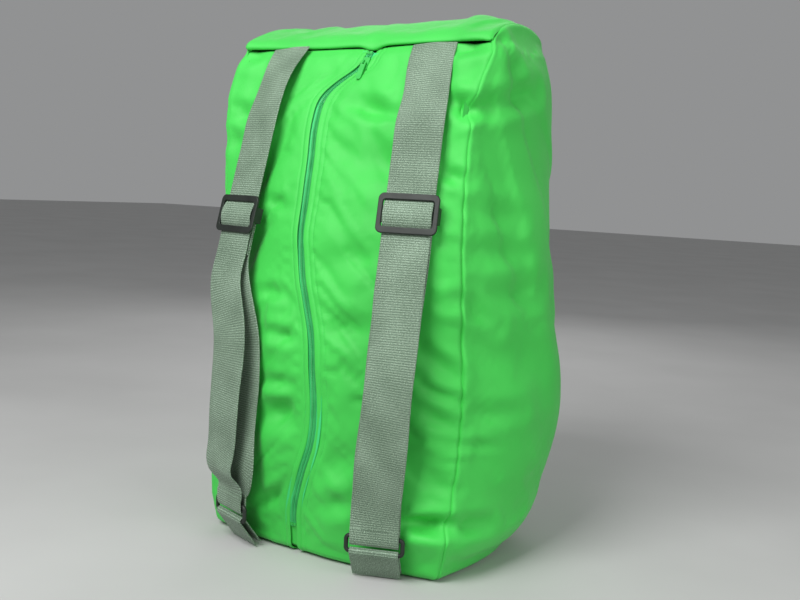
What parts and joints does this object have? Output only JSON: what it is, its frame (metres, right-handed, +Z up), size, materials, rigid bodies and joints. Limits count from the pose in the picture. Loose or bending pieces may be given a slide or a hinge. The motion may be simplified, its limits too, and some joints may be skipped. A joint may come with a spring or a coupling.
{
  "type": "rope storage bag",
  "caption": "Upright stuffed fabric rope bag with a full-height back zip and two webbing shoulder straps with adjusters.",
  "frame": {"origin": "centre of the bounding box, at floor level", "axes": "+Z up, the zipped back with the straps faces -Y, the plain front faces +Y, X runs across the bag"},
  "size_m": [0.367, 0.3364, 0.58],
  "materials": {
    "shell_fabric": "matte",
    "webbing": "matte",
    "binding": "matte",
    "zip_tape": "matte",
    "zip_coil": "satin",
    "zip_metal": "satin",
    "buckle_plastic": "satin"
  },
  "bodies": {
    "bag": {"back_panel_left": "shell_fabric", "back_panel_right": "shell_fabric", "front_panel": "shell_fabric", "top_panel": "shell_fabric", "bottom_panel": "shell_fabric", "zip_foot_patch": "shell_fabric", "seam_binding_bottom": "binding", "seam_binding_left": "binding", "seam_binding_right": "binding", "seam_binding_top_back": "binding", "seam_binding_top_front": "binding", "zip_tape_left": "zip_tape", "zip_tape_right": "zip_tape", "zip_coil_left": "zip_coil", "zip_coil_right": "zip_coil", "zip_stop_top": "zip_metal", "zip_stop_bottom": "zip_metal", "rope_tie_loop": "webbing", "strap_front_left": "webbing", "strap_front_right": "webbing", "strap_return_left": "webbing", "strap_return_right": "webbing", "ring_tab_left": "webbing", "ring_tab_right": "webbing"},
    "zip_slider": {"zip_slider": "zip_metal"},
    "zip_pull": {"zip_pull": "zip_metal"},
    "adjuster_left": {"strap_adjuster_left": "buckle_plastic", "strap_end_loop_left": "webbing"},
    "ring_left": {"strap_ring_left": "buckle_plastic", "strap_fold_left": "webbing"},
    "adjuster_right": {"strap_adjuster_right": "buckle_plastic", "strap_end_loop_right": "webbing"},
    "ring_right": {"strap_ring_right": "buckle_plastic", "strap_fold_right": "webbing"}
  },
  "joints": [
    {"name": "zip_run", "type": "hinge", "parent": "bag", "child": "zip_slider", "pos_m": [-0.01003, 0.60318, 0.19914], "axis": [0.9982, 0, -0.0593], "range_deg": [0, 37.4]},
    {"name": "pull_swing", "type": "hinge", "parent": "zip_slider", "child": "zip_pull", "pos_m": [0.00914, -0.07442, 0.52189], "axis": [-0.9982, 0, 0.0593], "range_deg": [0, 150]},
    {"name": "adjuster_left_slide", "type": "slide", "parent": "bag", "child": "adjuster_left", "axis": [0.0529, 0.2291, 0.972], "range_m": [-0.042, 0.078], "deforming": ["strap_return_left"]},
    {"name": "ring_left_tilt", "type": "hinge", "parent": "bag", "child": "ring_left", "pos_m": [-0.092, -0.142, 0.032], "axis": [0.9397, -0.342, 0], "range_deg": [-14, 14], "deforming": ["strap_front_left"]},
    {"name": "adjuster_right_slide", "type": "slide", "parent": "bag", "child": "adjuster_right", "axis": [-0.0529, 0.2291, 0.972], "range_m": [-0.053, 0.067], "deforming": ["strap_return_right"]},
    {"name": "ring_right_tilt", "type": "hinge", "parent": "bag", "child": "ring_right", "pos_m": [0.092, -0.142, 0.032], "axis": [0.9397, 0.342, 0], "range_deg": [-14, 14], "deforming": ["strap_front_right"]}
  ]
}
